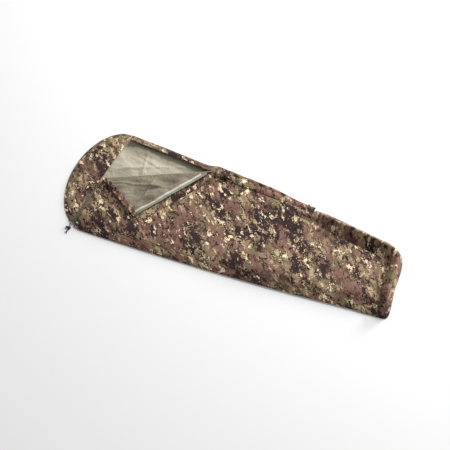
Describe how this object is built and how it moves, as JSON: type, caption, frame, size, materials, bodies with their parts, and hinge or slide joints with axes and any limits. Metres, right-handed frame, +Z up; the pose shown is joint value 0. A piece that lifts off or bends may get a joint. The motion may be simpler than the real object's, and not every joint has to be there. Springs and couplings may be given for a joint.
{
  "type": "bivy sack",
  "caption": "Camouflage bivy sack lying flat, hooded head, tapered foot, zipped corner of the top panel folded back to show the pale lining.",
  "frame": {"origin": "on the ground under the middle of the sack", "axes": "+X from the head to the foot, +Y towards the zipped side, +Z up"},
  "size_m": [2.3, 0.8756, 0.0877],
  "materials": {
    "outer_fabric": "woodland-type camouflage print, matt woven nylon with a waterproof laminate",
    "lining_tape": "pale heat-bonded seam tape",
    "zip_tape": "grey-green woven zip tape",
    "zip_coil": "dark polyester coil",
    "slider_metal": "black lacquered die-cast zinc",
    "press_stud": "black lacquered brass",
    "cord": "dark braided cord",
    "cord_lock": "black moulded plastic",
    "webbing": "dark woven webbing"
  },
  "bodies": {
    "sack": {"bottom_panel": "outer_fabric", "top_panel": "outer_fabric", "hood_panel": "outer_fabric", "side_strip": "outer_fabric", "top_panel_hem": "outer_fabric", "hood_tunnel": "outer_fabric", "near_seam_tape": "lining_tape", "far_seam_tape": "lining_tape", "fixed_zip_tape": "zip_tape", "panel_zip_tape": "zip_tape", "fixed_zip_coil": "zip_coil", "meshed_zip_coil": "zip_coil", "zip_bottom_stop": "slider_metal", "zip_top_stop": "slider_metal", "press_studs": "press_stud", "hood_eyelet": "press_stud", "top_panel_eyelet": "press_stud", "drawcord_in_tunnel": "cord", "drawcord_leg_hood": "cord", "drawcord_leg_panel": "cord", "drawcord_knot": "cord", "storm_end_tab": "webbing"},
    "flap": {"flap_panel": "outer_fabric", "flap_hem": "outer_fabric", "flap_seam_tape": "lining_tape", "flap_zip_tape": "zip_tape", "flap_zip_coil": "zip_coil", "flap_top_stop": "slider_metal", "flap_storm_flap": "outer_fabric", "flap_stud_caps": "press_stud"},
    "storm_flap": {"storm_flap": "outer_fabric", "storm_stud_caps": "press_stud"},
    "slider": {"slider_body": "slider_metal"},
    "outer_pull": {"outer_pull": "slider_metal"},
    "inner_pull": {"inner_pull": "slider_metal"},
    "cord_lock": {"lock_barrel": "cord_lock"},
    "cord_lock_button": {"lock_button": "cord_lock"}
  },
  "joints": [
    {"name": "flap_fold", "type": "hinge", "parent": "sack", "child": "flap", "pos_m": [-0.918, -0.022, 0.054], "axis": [-0.8911, -0.4537, 0], "range_deg": [0, 183]},
    {"name": "slider_travel", "type": "slide", "parent": "sack", "child": "slider", "axis": [-0.9983, 0.0529, -0.0262], "range_m": [0, 0.575]},
    {"name": "outer_pull_swing", "type": "hinge", "parent": "slider", "child": "outer_pull", "pos_m": [-0.2809, 0.31286, 0.05051], "axis": [-0.054, -0.9975, 0.0453], "range_deg": [-150, 0]},
    {"name": "inner_pull_swing", "type": "hinge", "parent": "slider", "child": "inner_pull", "pos_m": [-0.28066, 0.3124, 0.04052], "axis": [-0.054, -0.9975, 0.0453], "range_deg": [-70, 70]},
    {"name": "storm_flap_lift", "type": "hinge", "parent": "sack", "child": "storm_flap", "pos_m": [-0.26222, 0.29338, 0.04951], "axis": [0.9998, -0.0215, 0.0055], "range_deg": [0, 95]},
    {"name": "cord_lock_slide", "type": "slide", "parent": "sack", "child": "cord_lock", "axis": [0, 1, 0], "range_m": [-0.009, 0.005]},
    {"name": "lock_button_press", "type": "slide", "parent": "cord_lock", "child": "cord_lock_button", "axis": [1, 0, 0], "range_m": [0, 0.003], "stiffness_N_per_m": 400}
  ]
}
